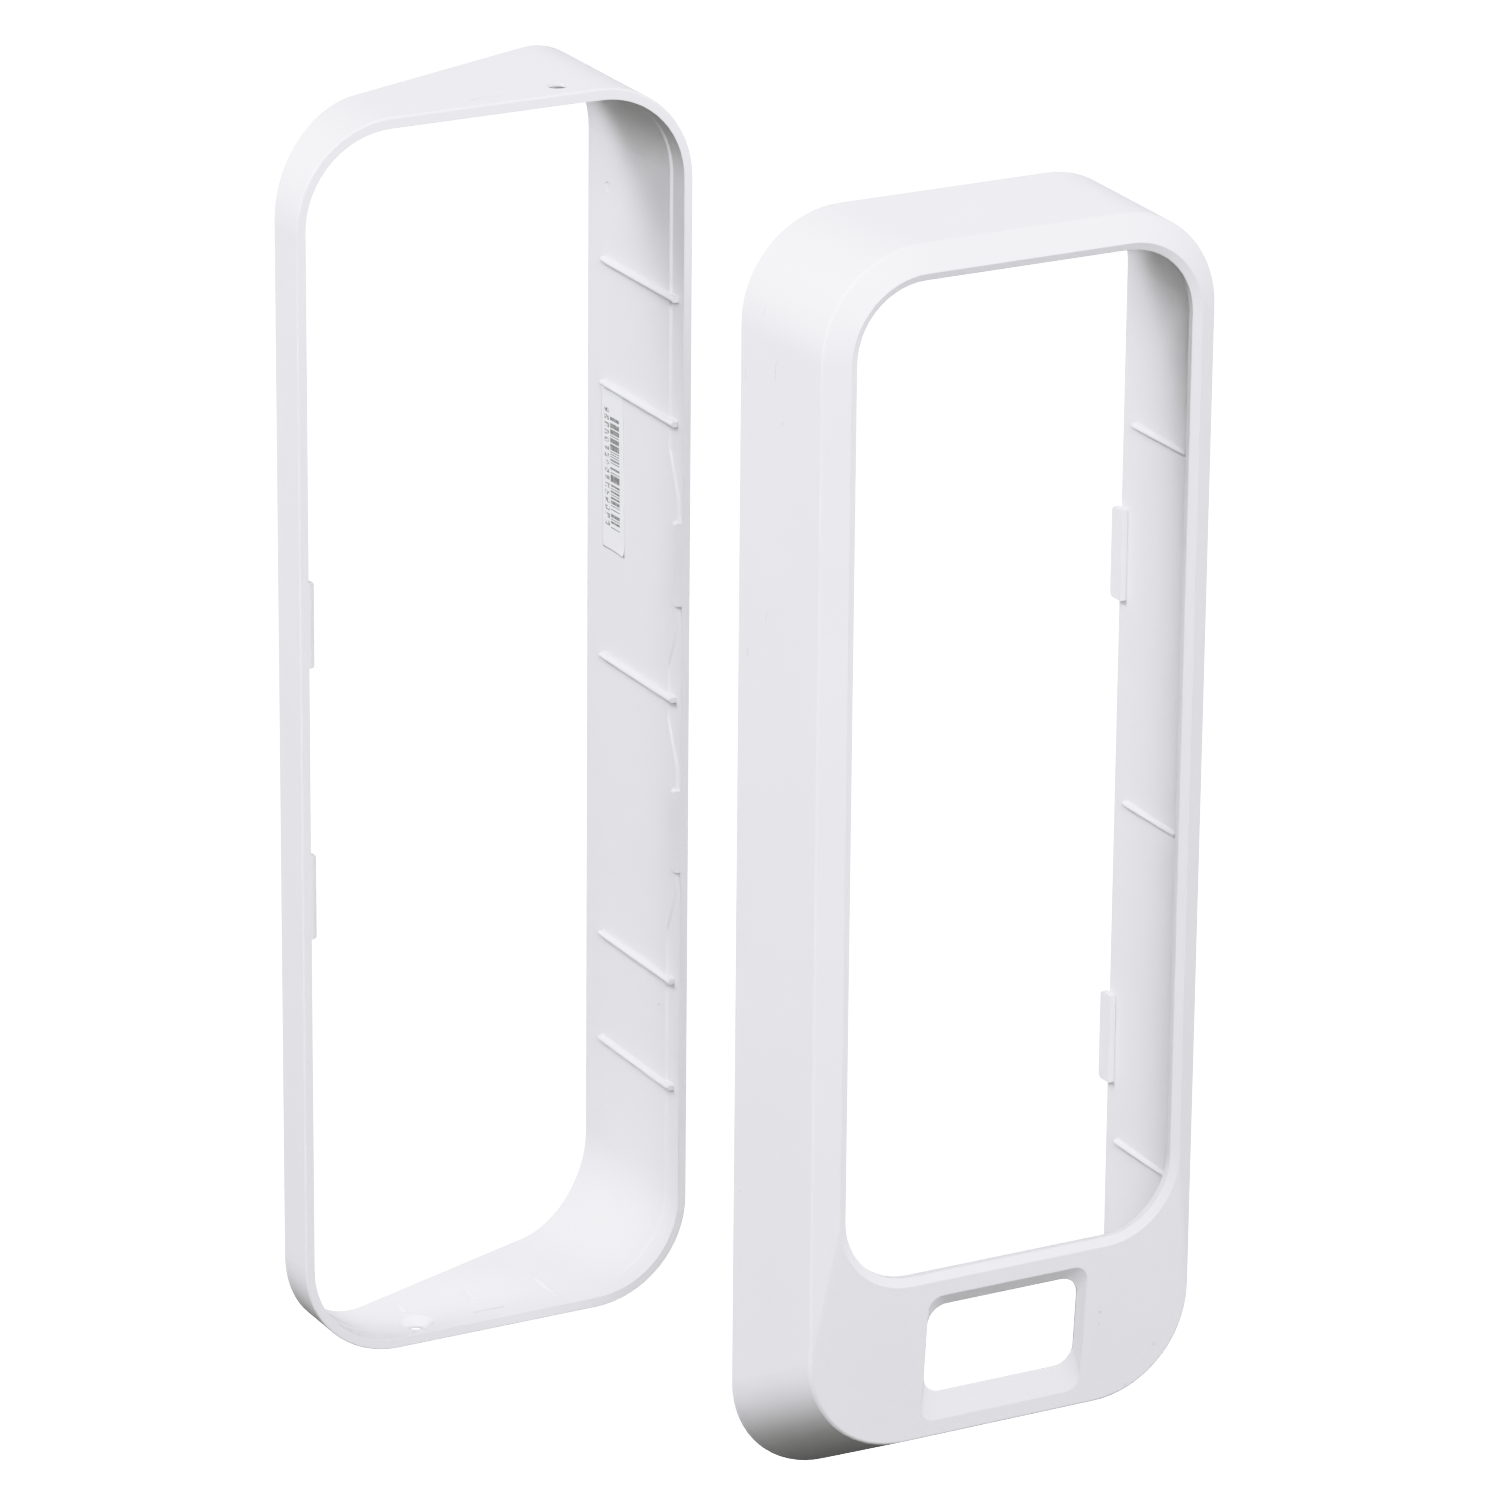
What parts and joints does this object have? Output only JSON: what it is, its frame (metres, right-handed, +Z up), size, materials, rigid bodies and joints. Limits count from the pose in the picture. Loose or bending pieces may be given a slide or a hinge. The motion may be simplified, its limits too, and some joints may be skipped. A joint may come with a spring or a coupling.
{
  "type": "wedge trim frame set",
  "caption": "Moulded wedge rear frame with label and matching front bezel frame with chin window, for a tall wall-mounted reader.",
  "frame": {"origin": "on the rear frame's back face, in the middle of its bottom wall", "axes": "+Z up, fronts towards -Y, deep side of the wedge towards +X"},
  "size_m": [0.1623, 0.1806, 0.303],
  "materials": {
    "frame_plastic": "fine matt moulded texture, white",
    "label_paper": "white coated label with dark bars"
  },
  "bodies": {
    "rear_frame": {"rear_frame": "frame_plastic", "serial_label": "label_paper"},
    "front_frame": {"front_frame": "frame_plastic"}
  },
  "joints": [
    {"name": "front_frame_slide", "type": "slide", "parent": "rear_frame", "child": "front_frame", "axis": [-0.5618, 0.8269, 0.0271], "range_m": [0, 0.1109]}
  ]
}
